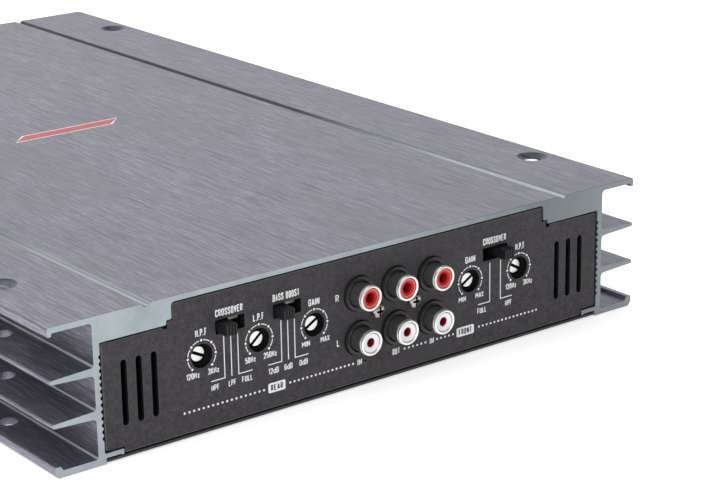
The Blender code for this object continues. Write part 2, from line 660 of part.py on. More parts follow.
def main():
    clear_scene()
    anodised = paint("anodised_aluminium", (0.29, 0.28, 0.31), 0.42, 1.0)
    textured = paint("textured_black", (0.055, 0.052, 0.06), 0.6)
    plate = paint("black_sheet", (0.03, 0.03, 0.033), 0.5)
    board = paint("circuit_board", (0.03, 0.12, 0.06), 0.5)
    plastic = paint("black_plastic", (0.02, 0.02, 0.022), 0.5)
    nickel = paint("nickel", (0.62, 0.6, 0.56), 0.18, 1.0)
    red = paint("red_plastic", (0.55, 0.02, 0.03), 0.4)
    white = paint("white_plastic", (0.82, 0.81, 0.78), 0.4)
    steel = paint("steel", (0.55, 0.54, 0.52), 0.3, 1.0)
    fuse = paint("fuse_plastic", (0.1, 0.5, 0.2), 0.25)
    lens = paint("lens_plastic", (0.6, 0.1, 0.1), 0.2)
    copper = paint("enamelled_copper", (0.5, 0.22, 0.1), 0.35, 1.0)
    sleeve = paint("capacitor_sleeve", (0.03, 0.04, 0.08), 0.35)
    make_heatsink(anodised)
    make_front_panel(textured)
    make_rear_panel(textured)
    make_bottom_plate(plate)
    make_boards(board)
    make_jack_block(plastic)
    make_jacks(nickel, red, white)
    make_jack_screws(steel)
    make_knobs(plastic, steel)
    make_switches(steel, plastic)
    make_terminal_block("speaker_block", SPEAKER_X, SPEAKER_WAYS, SPEAKER_PITCH, SPEAKER_HOLE, plastic)
    make_terminal_block("power_block", POWER_X, POWER_WAYS, POWER_PITCH, POWER_HOLE, plastic)
    make_power_screws(nickel)
    make_fuses(plastic, fuse)
    make_lens(lens)
    make_transformer(copper)
    make_capacitors(sleeve)
    make_output_stage(plastic, steel)


main()
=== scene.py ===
import math

import bmesh
import bpy
from mathutils import Matrix, Quaternion, Vector


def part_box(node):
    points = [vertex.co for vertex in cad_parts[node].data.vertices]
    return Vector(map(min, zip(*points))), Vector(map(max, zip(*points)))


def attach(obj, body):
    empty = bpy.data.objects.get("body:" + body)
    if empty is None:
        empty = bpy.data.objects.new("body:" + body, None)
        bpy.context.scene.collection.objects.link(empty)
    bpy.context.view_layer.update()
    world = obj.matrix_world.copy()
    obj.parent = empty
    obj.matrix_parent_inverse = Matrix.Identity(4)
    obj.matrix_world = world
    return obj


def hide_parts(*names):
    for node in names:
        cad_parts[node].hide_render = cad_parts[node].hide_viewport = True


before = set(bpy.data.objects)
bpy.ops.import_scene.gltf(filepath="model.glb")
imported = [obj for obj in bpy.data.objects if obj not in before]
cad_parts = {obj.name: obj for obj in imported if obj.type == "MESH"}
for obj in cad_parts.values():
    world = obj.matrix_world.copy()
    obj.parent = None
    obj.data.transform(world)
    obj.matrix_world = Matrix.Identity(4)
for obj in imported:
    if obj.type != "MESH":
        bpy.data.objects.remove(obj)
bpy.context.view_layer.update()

MM = 0.001
WELD = 1e-6                    # points nearer than this are one point
SHARP = 35.0                   # degrees between faces that meet in a hard edge
HAIR = 0.00002                 # how far printing sinks into the face it lies on
INK = 0.00004                  # thickness of the printed ink

# ---- Camera ----------------------------------------------------------------------
CAMERA_AT = (-0.37455, -0.65192, 0.24309)
VIEW_AZIMUTH = -37.75
VIEW_ELEVATION = 18.08
VIEW_ROLL = -0.84
LENS = 108.7

# ---- Soft edges of the end panels ------------------------------------------------
RIM_RADIUS = 0.0004            # outline
OPENING_RADIUS = 0.00008       # edges of the cut-outs
SOFT_SLICES = (0.0004, 0.0002, 0.00008, 0.00003)    # depths at which the walls are sliced

# ---- Where the extrusion's finishes lie: distance from the middle, depth from the top -
SUNK_BAND = (0.095, 0.107)     # countersinks
SUNK_DEPTH = 0.0022
GROOVE_BAND = (0.075, 0.0805)  # grooves; their walls facing -X carry a painted highlight
GROOVE_DEPTH = 0.0013
CORNER_BAND = (0.0952, 0.0958) # fin corners, painted bright as a highlight
SAWN_DEPTH = 0.0004            # from either end

# ---- Printed scales and labels, in millimetres -----------------------------------
SCALE_RADIUS = 4.75
SCALE_LINE = 0.24
SCALE_GAP = 9.0                # bare angle beside each dot
SCALE_START = 225.0            # the lowest setting, in degrees from +X towards +Z
SCALE_END = -45.0
SCALE_MARKS = 7
DOT_RADIUS = 0.36
DOT_PITCH = 1.6
ROW_Z = 8.0                    # dotted line under the controls
LEADER_LINE = 0.28
TITLE_RISE = 7.05              # from a trimmer's centre
NOTE_DROP = 5.3
LOW_NOTE = -3.2
HIGH_NOTE = 3.8
SWITCH_TITLE = (-0.3, 4.2)     # from a switch's centre
LEADER_TOP = 3.0               # below a switch's centre
LEADER_FOOT = 15.7
SETTING_DROP = 17.8
TITLE = (2.15, 0.31, 0.2)      # letter height, stroke and gap
NOTE = (1.8, 0.27, 0.17)
ROW_TEXT = (2.0, 0.28, 0.24)
BOX_TEXT = (1.95, 0.32, 0.28)

# ---- Names that come in groups ---------------------------------------------------
KNOBS = ("rear_highpass", "rear_lowpass", "rear_gain", "front_gain", "front_highpass")
SWITCHES = ("rear_crossover", "bass_boost", "front_crossover")
JACK_DUTIES = ("rear_input", "output", "front_input")
JACK_BORE = 3.1                # inside radius of a jack's shell, in millimetres
SPEAKER_WAYS = 8

# Centre lines of plain condensed letters: 1 wide and 2 tall unless a width is given below
GLYPHS = {
    "A": [[(0, 0), (0.42, 2)], [(1, 0), (0.58, 2)], [(0.18, 0.5), (0.82, 0.5)]],
    "B": [[(0.7, 1.05), (1, 1.3), (1, 1.75), (0.75, 2), (0, 2), (0, 0), (0.75, 0), (1, 0.25), (1, 0.8),
           (0.7, 1.05), (0, 1.05)]],
    "C": [[(1, 1.4), (1, 1.75), (0.75, 2), (0.25, 2), (0, 1.75), (0, 0.25), (0.25, 0), (0.75, 0),
           (1, 0.25), (1, 0.6)]],
    "D": [[(0.3, 0), (0.7, 0), (1, 0.3), (1, 1.7), (0.7, 2), (0, 2), (0, 0), (0.3, 0)]],
    "E": [[(1, 2), (0, 2), (0, 0), (1, 0)], [(0, 1), (0.8, 1)]],
    "F": [[(1, 2), (0, 2), (0, 0)], [(0, 1), (0.8, 1)]],
    "G": [[(1, 1.4), (1, 1.75), (0.75, 2), (0.25, 2), (0, 1.75), (0, 0.25), (0.25, 0), (0.75, 0),
           (1, 0.25), (1, 0.95), (0.55, 0.95)]],
    "H": [[(0, 0), (0, 2)], [(1, 0), (1, 2)], [(0, 1), (1, 1)]],
    "I": [[(0, 0), (0, 2)]],
    "K": [[(0, 0), (0, 2)], [(1, 2), (0, 0.85)], [(0.3, 1.2), (1, 0)]],
    "L": [[(0, 2), (0, 0), (1, 0)]],
    "M": [[(0, 0), (0, 2)], [(0.08, 2), (0.46, 0.7)], [(0.92, 2), (0.54, 0.7)], [(1, 2), (1, 0)]],
    "N": [[(0, 0), (0, 2)], [(0.08, 2), (0.92, 0)], [(1, 0), (1, 2)]],
    "O": [[(0.5, 0), (0.25, 0), (0, 0.25), (0, 1.75), (0.25, 2), (0.75, 2), (1, 1.75), (1, 0.25),
           (0.75, 0), (0.5, 0)]],
    "P": [[(0, 0), (0, 2), (0.75, 2), (1, 1.75), (1, 1.15), (0.75, 0.9), (0, 0.9)]],
    "R": [[(0, 0), (0, 2), (0.75, 2), (1, 1.75), (1, 1.2), (0.75, 0.95), (0, 0.95)],
          [(0.5, 0.95), (1, 0)]],
    "S": [[(1, 1.45), (1, 1.75), (0.75, 2), (0.25, 2), (0, 1.75), (0, 1.35), (0.2, 1.1), (0.8, 0.9),
           (1, 0.65), (1, 0.25), (0.75, 0), (0.25, 0), (0, 0.25), (0, 0.55)]],
    "T": [[(0, 2), (1, 2)], [(0.5, 2), (0.5, 0)]],
    "U": [[(0, 2), (0, 0.25), (0.25, 0), (0.75, 0), (1, 0.25), (1, 2)]],
    "V": [[(0, 2), (0.43, 0)], [(1, 2), (0.57, 0)]],
    "W": [[(0, 2), (0.25, 0), (0.5, 1.4), (0.75, 0), (1, 2)]],
    "X": [[(0, 0), (1, 2)], [(0, 2), (1, 0)]],
    "d": [[(1, 2), (1, 0), (0.25, 0), (0, 0.25), (0, 1.0), (0.25, 1.25), (1, 1.25)]],
    "z": [[(0, 1.25), (1, 1.25)], [(0.95, 1.2), (0.05, 0.05)], [(0, 0), (1, 0)]],
    "1": [[(0, 1.55), (1, 2), (1, 0)]],
    "2": [[(0, 1.45), (0, 1.75), (0.25, 2), (0.75, 2), (1, 1.75), (1, 1.25), (0, 0), (1, 0)]],
    "3": [[(0, 1.7), (0.25, 2), (0.75, 2), (1, 1.75), (1, 1.3), (0.7, 1.05), (1, 0.8), (1, 0.25),
           (0.75, 0), (0.25, 0), (0, 0.3)], [(0.35, 1.05), (0.7, 1.05)]],
    "5": [[(0.95, 2), (0.05, 2), (0, 1.1), (0.7, 1.25), (1, 1.0), (1, 0.25), (0.75, 0), (0.25, 0),
           (0, 0.3)]],
    "6": [[(1, 1.7), (0.75, 2), (0.25, 2), (0, 1.75), (0, 0.25), (0.25, 0), (0.75, 0), (1, 0.25),
           (1, 0.95), (0.75, 1.2), (0, 1.2)]],
    ".": [[(0, -0.1), (0, 0.18)]],
    " ": [],
}
GLYPHS["0"] = GLYPHS["O"]
WIDTHS = {"I": 0.0, ".": 0.0, " ": 0.3, "1": 0.45, "L": 0.85, "E": 0.9, "F": 0.9, "H": 1.1, "N": 1.15,
          "M": 1.5, "W": 1.5}


# ---- Shape helpers ---------------------------------------------------------------
def centre_of(node):
    """Middle of a CAD node's box."""
    low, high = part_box(node)
    return (low + high) / 2.0


def finish_mesh(name, shape, finishes, smooth=SHARP):
    """Turn a bmesh that is already in place into an object; its finishes are keys of MATERIALS."""
    mesh = bpy.data.meshes.new(name)
    shape.to_mesh(mesh)
    shape.free()
    for finish in finishes:
        mesh.materials.append(MATERIALS[finish])
    mesh.shade_smooth()
    mesh.set_sharp_from_angle(angle=math.radians(smooth))
    piece = bpy.data.objects.new(name, mesh)
    bpy.context.scene.collection.objects.link(piece)
    return piece


def settle(piece, body="chassis", stands_for=()):
    """Tie a piece to its CAD body; wide faces then govern the shading."""
    normals = piece.modifiers.new("Flat faces first", "WEIGHTED_NORMAL")
    normals.keep_sharp = True
    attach(piece, body)
    if stands_for:
        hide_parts(*stands_for)


def add_piece(name, shape, finishes, body="chassis", stands_for=()):
    """Turn a bmesh into an object and settle it."""
    settle(finish_mesh(name, shape, finishes), body, stands_for)


def recalculated(shape):
    """The same bmesh with its faces pointing out."""
    bmesh.ops.recalc_face_normals(shape, faces=shape.faces)
    return shape


def welded_copy(node):
    """Bmesh of a CAD node with its loose corners joined."""
    shape = bmesh.new()
    shape.from_mesh(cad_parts[node].data)
    bmesh.ops.remove_doubles(shape, verts=shape.verts, dist=WELD)
    return shape


def raise_faces(shape, faces, step):
    """Thicken flat faces into a solid by moving a copy of them along a step."""
    grown = bmesh.ops.extrude_face_region(shape, geom=faces)
    moved = [part for part in grown["geom"] if isinstance(part, bmesh.types.BMVert)]
    bmesh.ops.translate(shape, verts=moved, vec=step)


def sharp_edges(shape, chosen=None):
    """Hard edges of a shape, or those of them that a test picks."""
    edges = [edge for edge in shape.edges
             if len(edge.link_faces) == 2 and edge.calc_face_angle(0.0) > math.radians(SHARP)]
    return [edge for edge in edges if chosen(edge)] if chosen else edges


def refined(node, width, finishes, segments=2, chosen=None, sort=None):
    """Copy of a CAD node with its flat faces rejoined and its sharp edges rounded off."""
    shape = welded_copy(node)
    bmesh.ops.dissolve_limit(shape, angle_limit=math.radians(0.4), verts=shape.verts,
                             edges=shape.edges)
    bmesh.ops.bevel(shape, geom=sharp_edges(shape, chosen), offset=width, segments=segments,
                    profile=0.5, affect="EDGES", clamp_overlap=chosen is None)
    for face in shape.faces:
        face.material_index = sort(face) if sort else 0
    return finish_mesh(node + "_shape", shape, finishes)


def spun(profile, steps=64, centre=(0.0, 0.0, 0.0), axis="Y"):
    """Spin (radius, along) points in millimetres round a Y or Z axis through a centre in metres.

    A point may carry a third value, the material index of the band that starts there."""
    along = Vector((0.0, 1.0, 0.0)) if axis == "Y" else Vector((0.0, 0.0, 1.0))
    across = Vector((1.0, 0.0, 0.0))
    side = along.cross(across)
    shape = bmesh.new()
    rings = []
    for point in profile:
        at = Vector(centre) + along * point[1] * MM
        radius = point[0] * MM
        if radius < 1e-9:
            rings.append([shape.verts.new(at)])
            continue
        turns = [math.tau * step / steps for step in range(steps)]
        rings.append([shape.verts.new(at + (across * math.cos(turn) + side * math.sin(turn)) * radius)
                      for turn in turns])
    for index, (ring, following) in enumerate(zip(rings, rings[1:])):
        band = profile[index][2] if len(profile[index]) > 2 else 0
        for step in range(steps):
            after = (step + 1) % steps
            corners = [ring[step % len(ring)], ring[after % len(ring)],
                       following[after % len(following)], following[step % len(following)]]
            unique = list(dict.fromkeys(corners))
            if len(unique) > 2:
                shape.faces.new(unique).material_index = band
    if len(rings[0]) > 1 and len(rings[-1]) > 1:
        for step in range(steps):
            after = (step + 1) % steps
            shape.faces.new([rings[-1][step], rings[-1][after], rings[0][after], rings[0][step]])
    return recalculated(shape)


def add_plate(shape, outline, face, thick, outward=-1.0):
    """Thin plate of an (x, z) outline in millimetres, standing off a face at y in metres."""
    near = face - outward * HAIR
    far = face + outward * thick
    rim = [shape.verts.new((x * MM, near, z * MM)) for x, z in outline]
    raise_faces(shape, [shape.faces.new(rim)], (0.0, far - near, 0.0))


def disc(x, z, radius, corners=16):
    """Outline of a round spot."""
    turns = [math.tau * corner / corners for corner in range(corners)]
    return [(x + radius * math.cos(turn), z + radius * math.sin(turn)) for turn in turns]


def round_box(x, z, width, height, radius, steps=4):
    """Outline of a box with round corners."""
    outline = []
    corners = ((1, 1, 0.0), (-1, 1, 90.0), (-1, -1, 180.0), (1, -1, 270.0))
    for side, up, start in corners:
        for step in range(steps + 1):
            angle = math.radians(start + 90.0 * step / steps)
            outline.append((x + side * (width / 2.0 - radius) + radius * math.cos(angle),
                            z + up * (height / 2.0 - radius) + radius * math.sin(angle)))
    return outline


def edges_of_line(points, width):
    """The two edges of a line of even width along (x, z) points."""
    left = []
    right = []
    for index, point in enumerate(points):
        here = Vector(point)
        before = (here - Vector(points[index - 1])).normalized() if index else None
        after = (Vector(points[index + 1]) - here).normalized() if index + 1 < len(points) else None
        way = ((before or after) + (after or before)).normalized()
        normal = Vector((-way.y, way.x))
        spread = width / 2.0
        if before and after:
            spread /= max(0.45, normal.dot(Vector((-before.y, before.x))))
        left.append(tuple(here + normal * spread))
        right.append(tuple(here - normal * spread))
    return left, right


def add_strip(shape, points, width, face, thick=INK, outward=-1.0):
    """Raised line of even width along (x, z) points in millimetres, on a face at y in metres."""
    left, right = edges_of_line(points, width)
    near = face - outward * HAIR
    rails = [[shape.verts.new((x * MM, near, z * MM)) for x, z in rail] for rail in (left, right)]
    faces = []
    for index in range(len(points) - 1):
        faces.append(shape.faces.new([rails[0][index], rails[0][index + 1], rails[1][index + 1],
                                      rails[1][index]]))
    raise_faces(shape, faces, (0.0, outward * (thick + HAIR), 0.0))


def add_text(shape, text, x, z, width, style, face, outward=-1.0):
    """Raised condensed lettering, in millimetres, centred at (x, z) on a face at y."""
    height, stroke, gap = style
    count = len(text)
    total = sum(WIDTHS.get(letter, 1.0) for letter in text)
    unit = (width - count * stroke - (count - 1) * gap) / max(total, 0.01)
    rise = (height - stroke) / 2.0
    start = -width / 2.0 + stroke / 2.0
    for letter in text:
        wide = WIDTHS.get(letter, 1.0) * unit
        for line in GLYPHS[letter]:
            placed = [(x - outward * (start + across * wide), z + (up - 1.0) * rise)
                      for across, up in line]
            add_strip(shape, placed, stroke, face, INK, outward)
        start += wide + stroke + gap


# ---- Material helpers ------------------------------------------------------------
class Paint:
    """A Principled material built from a few noise layers in the object's own metres."""

    def __init__(self, name, colour, roughness, metallic=0.0, specular=0.5):
        self.material = bpy.data.materials.new(name)
        self.material.use_nodes = True
        self.tree = self.material.node_tree
        self.shader = self.tree.nodes["Principled BSDF"]
        self.colour = (*colour, 1.0)
        self.shader.inputs["Base Color"].default_value = self.colour
        self.shader.inputs["Roughness"].default_value = roughness
        self.shader.inputs["Metallic"].default_value = metallic
        self.shader.inputs["Specular IOR Level"].default_value = specular
        self.place = self.tree.nodes.new("ShaderNodeTexCoord").outputs["Object"]
        self.last_colour = None
        self.last_bump = None

    def link(self, source, target):
        """Join an output to an input."""
        self.tree.links.new(source, target)

    def noise(self, scale, detail=2.0, roughness=0.5, turn=(0.0, 0.0, 0.0)):
        """Noise with a scale in features per metre, one number or three along X, Y and Z; turn is
        in degrees."""
        if isinstance(scale, float):
            scale = (scale, scale, scale)
        mapping = self.tree.nodes.new("ShaderNodeMapping")
        mapping.inputs["Rotation"].default_value = [math.radians(angle) for angle in turn]
        self.link(self.place, mapping.inputs["Vector"])
        stretch = self.tree.nodes.new("ShaderNodeVectorMath")
        stretch.operation = "MULTIPLY"
        stretch.inputs[1].default_value = scale
        self.link(mapping.outputs["Vector"], stretch.inputs[0])
        texture = self.tree.nodes.new("ShaderNodeTexNoise")
        texture.inputs["Scale"].default_value = 1.0
        texture.inputs["Detail"].default_value = detail
        texture.inputs["Roughness"].default_value = roughness
        self.link(stretch.outputs["Vector"], texture.inputs["Vector"])
        return texture.outputs["Fac"]

    def along(self, axis):
        """Position along X, Y or Z, in metres."""
        split = self.tree.nodes.new("ShaderNodeSeparateXYZ")
        self.link(self.place, split.inputs["Vector"])
        return split.outputs[axis]

    def ranged(self, source, low, high, start=0.3, end=0.7):
        """Values of a source from start to end, spread from low to high."""
        remap = self.tree.nodes.new("ShaderNodeMapRange")
        remap.inputs["From Min"].default_value = start
        remap.inputs["From Max"].default_value = end
        remap.inputs["To Min"].default_value = low
        remap.inputs["To Max"].default_value = high
        self.link(source, remap.inputs["Value"])
        return remap.outputs["Result"]

    def tint(self, source, colour, amount, start=0.35, end=0.7):
        """Mix another colour over what is there, more as the source goes from start to end."""
        mix = self.tree.nodes.new("ShaderNodeMix")
        mix.data_type = "RGBA"
        self.link(self.ranged(source, 0.0, amount, start, end), mix.inputs["Factor"])
        if self.last_colour is None:
            mix.inputs[6].default_value = self.colour
        else:
            self.link(self.last_colour, mix.inputs[6])
        mix.inputs[7].default_value = (*colour, 1.0)
        self.last_colour = mix.outputs[2]
        self.link(self.last_colour, self.shader.inputs["Base Color"])

    def rough(self, source, low, high):
        """Let a source set the roughness."""
        self.link(self.ranged(source, low, high), self.shader.inputs["Roughness"])

    def bump(self, source, distance, strength=1.0):
        """Relief from a source, on top of any relief already there."""
        node = self.tree.nodes.new("ShaderNodeBump")
        node.inputs["Strength"].default_value = strength
        node.inputs["Distance"].default_value = distance
        self.link(source, node.inputs["Height"])
        if self.last_bump is not None:
            self.link(self.last_bump, node.inputs["Normal"])
        self.last_bump = node.outputs["Normal"]
        self.link(self.last_bump, self.shader.inputs["Normal"])


def anodised_paint():
    """Grey-violet anodising, brushed along the extrusion."""
    paint = Paint("anodised_brushed", (0.2, 0.199, 0.25), 0.42, 0.8)
    hair = paint.noise((3800.0, 130.0, 3800.0), roughness=0.6)
    streak = paint.noise((2400.0, 40.0, 2400.0), detail=3.0, roughness=0.6)
    patches = paint.noise((30.0, 8.0, 30.0))
    paint.tint(hair, (0.42, 0.41, 0.475), 1.0, 0.47, 0.66)
    paint.tint(streak, (0.08, 0.079, 0.108), 0.65, 0.47, 0.66)
    paint.tint(patches, (0.17, 0.172, 0.2), 0.4)
    paint.rough(hair, 0.36, 0.52)
    paint.bump(streak, 0.00002, 0.4)
    paint.bump(hair, 0.00002, 0.5)
    return paint.material


def cut_end_paint():
    """Bare sawn aluminium on the ends of the extrusion: slanting saw lines, a little oxide,
    and painted shade that darkens it towards the right-hand block."""
    paint = Paint("sawn_aluminium", (0.36, 0.415, 0.44), 0.5, 0.4)
    lines = paint.noise((160.0, 160.0, 4200.0), turn=(0.0, 38.0, 0.0))
    cloud = paint.noise(120.0, detail=3.0)
    paint.tint(lines, (0.46, 0.515, 0.54), 0.6)
    paint.tint(cloud, (0.24, 0.285, 0.31), 0.5)
    # Painted shade: darker towards +X over the right-hand block, where the key light falls off.
    paint.tint(paint.along("X"), (0.12, 0.14, 0.15), 0.75, 0.0, 0.07)
    paint.tint(paint.along("X"), (0.3, 0.34, 0.36), 0.6, 0.072, 0.098)
    paint.rough(lines, 0.42, 0.62)
    paint.bump(lines, 0.00003, 0.6)
    return paint.material


def sunk_paint():
    """Dark anodising inside the countersinks, turned in fine rings."""
    paint = Paint("countersink", (0.05, 0.06, 0.075), 0.35, 0.7)
    rings = paint.noise((400.0, 400.0, 5200.0))
    paint.tint(rings, (0.09, 0.1, 0.12), 0.6)
    paint.rough(rings, 0.28, 0.45)
    paint.bump(rings, 0.00002, 0.5)
    return paint.material


def groove_highlight_paint():
    """Smoother anodising on the groove walls facing -X, painted lighter as a highlight and darker away
    from the front as painted shade.
    """
    paint = Paint("groove_highlight_and_shade", (0.27, 0.3, 0.325), 0.3, 0.6)
    draw = paint.noise((2600.0, 20.0, 2600.0))
    paint.tint(draw, (0.38, 0.41, 0.435), 0.6)
    # Painted shade: darker towards the back, away from the front.
    paint.tint(paint.along("Y"), (0.02, 0.022, 0.03), 0.93, -0.12, -0.03)
    paint.rough(draw, 0.25, 0.38)
    paint.bump(draw, 0.00001, 0.4)
    return paint.material


def textured_paint():
    """Charcoal powder coat on the end panels: fine grain with a soft sheen."""
    paint = Paint("powder_coat", (0.034, 0.029, 0.036), 0.66, 0.0, 0.35)
    grain = paint.noise(2600.0, roughness=0.6)
    mottle = paint.noise(700.0, detail=3.0, roughness=0.65)
    haze = paint.noise(22.0)
    paint.tint(grain, (0.085, 0.075, 0.088), 0.85, 0.46, 0.7)
    paint.tint(mottle, (0.021, 0.017, 0.023), 0.7)
    paint.tint(haze, (0.042, 0.039, 0.044), 0.6)
    paint.rough(mottle, 0.55, 0.75)
    paint.bump(mottle, 0.00005, 0.5)
    paint.bump(grain, 0.00004, 0.6)
    return paint.material


def edge_sheen_and_wear_paint():
    """Edges of a coated sheet: lighter as a painted highlight, with uneven rubbing where the coat is
    thin.
    """
    paint = Paint("edge_sheen_and_wear", (0.075, 0.07, 0.073), 0.5, 0.1)
    rub = paint.noise(500.0, detail=3.0)
    paint.tint(rub, (0.045, 0.042, 0.047), 0.8)
    paint.rough(rub, 0.4, 0.6)
    paint.bump(rub, 0.00002, 0.4)
    return paint.material


def sheet_paint():
    """Satin black paint on the bottom plate, with faint rolling marks."""
    paint = Paint("black_sheet_paint", (0.022, 0.022, 0.025), 0.48)
    rolled = paint.noise((900.0, 14.0, 900.0))
    orange_peel = paint.noise(1100.0)
    paint.tint(rolled, (0.04, 0.04, 0.044), 0.6)
    paint.rough(rolled, 0.4, 0.58)
    paint.bump(orange_peel, 0.00003, 0.5)
    return paint.material


def moulded_paint(name, colour, roughness, variation=0.35, specular=0.5):
    """Moulded plastic: spark-eroded grain and slight colour drift."""
    paint = Paint(name, colour, roughness, 0.0, specular)
    grain = paint.noise(1800.0)
    drift = paint.noise(90.0)
    lighter = [min(1.0, channel * 1.35 + 0.012) for channel in colour]
    darker = [channel * 0.72 for channel in colour]
    paint.tint(grain, lighter, variation)
    paint.tint(drift, darker, variation)
    paint.rough(grain, roughness - 0.07, roughness + 0.1)
    paint.bump(grain, 0.00002, 0.35)
    return paint.material


def plated_paint(name, colour, roughness, scale=900.0, metallic=1.0):
    """Plated metal with faint handling marks."""
    paint = Paint(name, colour, roughness, metallic)
    marks = paint.noise(scale, detail=3.0)
    stain = paint.noise(240.0)
    paint.tint(marks, [channel * 0.8 for channel in colour], 0.5)
    paint.tint(stain, [channel * 0.65 for channel in colour], 0.35)
    paint.rough(marks, max(0.05, roughness - 0.06), roughness + 0.1)
    paint.bump(marks, 0.00001, 0.3)
    return paint.material


def ink_paint(name, colour):
    """Screen-printed ink: slightly uneven cover."""
    paint = Paint(name, colour, 0.55)
    cover = paint.noise(1500.0)
    paint.tint(cover, [channel * 0.86 for channel in colour], 0.5)
    paint.rough(cover, 0.48, 0.62)
    paint.bump(cover, 0.00001, 0.3)
    return paint.material


def board_paint():
    """Solder mask over copper tracks, painted near-black as the shade inside the case."""
    paint = Paint("solder_mask_shaded_black", (0.006, 0.012, 0.01), 0.45)
    tracks = paint.noise((260.0, 60.0, 260.0), detail=0.0)
    weave = paint.noise(1600.0, detail=1.0)
    paint.tint(tracks, (0.012, 0.022, 0.018), 0.9, 0.5, 0.53)
    paint.tint(weave, (0.004, 0.009, 0.007), 0.4)
    paint.rough(weave, 0.32, 0.48)
    paint.bump(tracks, 0.00003, 0.6)
    return paint.material


def winding_paint():
    """Enamelled copper turns round the toroid."""
    paint = Paint("enamelled_copper", (0.45, 0.17, 0.07), 0.3, 0.9)
    turns = paint.noise((900.0, 900.0, 120.0), detail=1.0)
    paint.tint(turns, (0.2, 0.06, 0.03), 0.7)
    paint.rough(turns, 0.22, 0.42)
    paint.bump(turns, 0.00015, 0.7)
    return paint.material


MATERIALS = {
    "anodised": anodised_paint(),
    "cut_end": cut_end_paint(),
    "sunk": sunk_paint(),
    "groove": groove_highlight_paint(),
    # Fin corners: a bright finish that is a painted highlight.
    "corner_highlight": plated_paint("corner_painted_highlight", (0.62, 0.65, 0.66), 0.34, (3000.0, 30.0, 3000.0),
                              0.5),
    "textured": textured_paint(),
    # Panel bevels: painted highlight with some rubbing.
    "edge_sheen_and_rub": edge_sheen_and_wear_paint(),
    "sheet": sheet_paint(),
    "black": moulded_paint("black_moulding", (0.016, 0.016, 0.018), 0.42),
    "lever": moulded_paint("lever_moulding", (0.009, 0.008, 0.01), 0.42, 0.35, 0.3),
    # Near-black: painted shade on panel walls, rotor slots and switch shutters; also the trimmer
    # bodies and switch housings.
    "well": moulded_paint("well_shade_and_black_moulding", (0.004, 0.004, 0.005), 0.85, 0.35, 0.15),
    "white": moulded_paint("white_moulding", (0.84, 0.83, 0.87), 0.4, 0.1, 0.4),
    "red": moulded_paint("red_moulding", (0.46, 0.008, 0.008), 0.5, 0.15, 0.25),
    # Red insulator lip: painted lighter as a highlight.
    "red_lip_highlight": moulded_paint("red_lip_painted_highlight", (0.68, 0.13, 0.11), 0.5, 0.15, 0.3),
    # Socket throats: insulator colour painted dark as shade inside the hole.
    "socket": moulded_paint("socket_throat_shade", (0.24, 0.004, 0.008), 0.6, 0.2, 0.2),
    # Jack barrels: plated metal painted dark as a reflection of the dark panel.
    "barrel": plated_paint("barrel_dark_reflection", (0.12, 0.112, 0.104), 0.3, (120.0, 900.0, 120.0), 0.55),
    "rim": plated_paint("plated_rim", (0.97, 0.965, 0.94), 0.34, 200.0),
    "screw": plated_paint("plated_screw", (0.5, 0.475, 0.42), 0.28),
    # Screw recesses: painted shade.
    "recess": plated_paint("screw_recess_shade", (0.03, 0.028, 0.026), 0.5),
    "rotor": plated_paint("turned_steel", (0.86, 0.85, 0.82), 0.34, (200.0, 2000.0, 2000.0)),
    "contact": plated_paint("contact_brass", (0.2, 0.175, 0.14), 0.45),
    "steel": plated_paint("plain_steel", (0.5, 0.49, 0.47), 0.35, (1400.0, 60.0, 1400.0)),
    "ink": ink_paint("white_ink", (0.86, 0.86, 0.88)),
    "dark_ink": ink_paint("dark_ink", (0.03, 0.03, 0.034)),
    "red_ink": ink_paint("red_ink", (0.6, 0.12, 0.12)),
    "faint_ink": ink_paint("etched_grey", (0.34, 0.33, 0.37)),
    "board": board_paint(),
    "winding": winding_paint(),
    "sleeve": moulded_paint("capacitor_sleeve", (0.02, 0.03, 0.07), 0.3),
    "fuse": moulded_paint("fuse_moulding", (0.02, 0.24, 0.07), 0.2, 0.2, 0.6),
    "lens": moulded_paint("lens_moulding", (0.55, 0.03, 0.03), 0.12, 0.1, 0.6),
}


# ---- Extrusion -------------------------------------------------------------------
def make_heatsink():
    """The extrusion, with its sawn ends softened and each kind of face in its own finish."""
    low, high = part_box("heatsink")

    def at_end(edge):
        return any(all(abs(vert.co.y - end) < WELD for vert in edge.verts) for end in (low.y, high.y))

    def sort(face):
        middle = face.calc_center_median()
        across = abs(middle.x)
        if abs(face.normal.y) > 0.5 and min(middle.y - low.y, high.y - middle.y) < SAWN_DEPTH:
            return 1
        slanted = 0.02 < abs(face.normal.z) < 0.98
        if slanted and middle.z > high.z - SUNK_DEPTH and SUNK_BAND[0] < across < SUNK_BAND[1]:
            return 2
        if slanted and middle.z > high.z - GROOVE_DEPTH and GROOVE_BAND[0] < across < GROOVE_BAND[1]:
            # Groove walls facing -X take the brighter groove finish as a painted highlight.
            return 3 if face.normal.x < 0.0 else 0
        # Upward fin corners take the bright finish as a painted highlight.
        if slanted and face.normal.z > 0.0 and CORNER_BAND[0] < across < CORNER_BAND[1]:
            return 4
        return 0

    finishes = ["anodised", "cut_end", "sunk", "groove", "corner_highlight"]
    piece = refined("heatsink", 0.00014, finishes, chosen=at_end, sort=sort)
    settle(piece, stands_for=["heatsink"])


